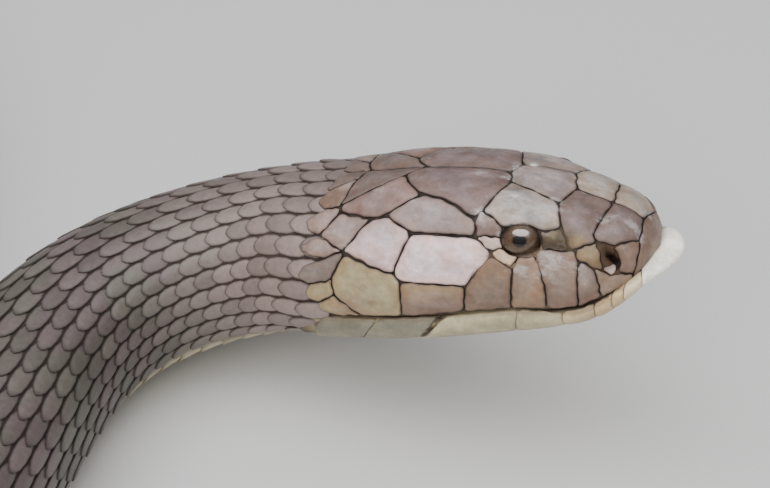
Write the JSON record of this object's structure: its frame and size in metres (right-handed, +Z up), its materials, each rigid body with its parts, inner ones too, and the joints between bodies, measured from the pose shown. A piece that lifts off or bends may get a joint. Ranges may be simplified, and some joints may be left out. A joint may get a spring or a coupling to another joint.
{
  "type": "king cobra",
  "caption": "Life-size king cobra lying in a loose flat coil, its head a little raised and turned to look along its front.",
  "frame": {"origin": "middle of the animal's footprint, on the surface it lies on", "axes": "+Z up; +X the way the head points; +Y to the head's left"},
  "size_m": [0.7196, 0.6068, 0.0772],
  "materials": {
    "plates": "satin head shields",
    "cream": "satin skin",
    "scales": "satin smooth scales",
    "tail": "satin smooth scales",
    "eye": "wet gloss"
  },
  "bodies": {
    "root": {"head": "plates", "lower_jaw": "cream", "eye_right": "eye", "eye_left": "eye", "neck": "scales", "trunk_1": "scales", "trunk_2": "scales", "trunk_3": "scales", "trunk_4": "scales", "trunk_5": "scales", "trunk_6": "scales", "trunk_7": "scales", "trunk_8": "scales", "tail_1": "tail", "tail_2": "tail", "tail_3": "tail"}
  },
  "joints": []
}
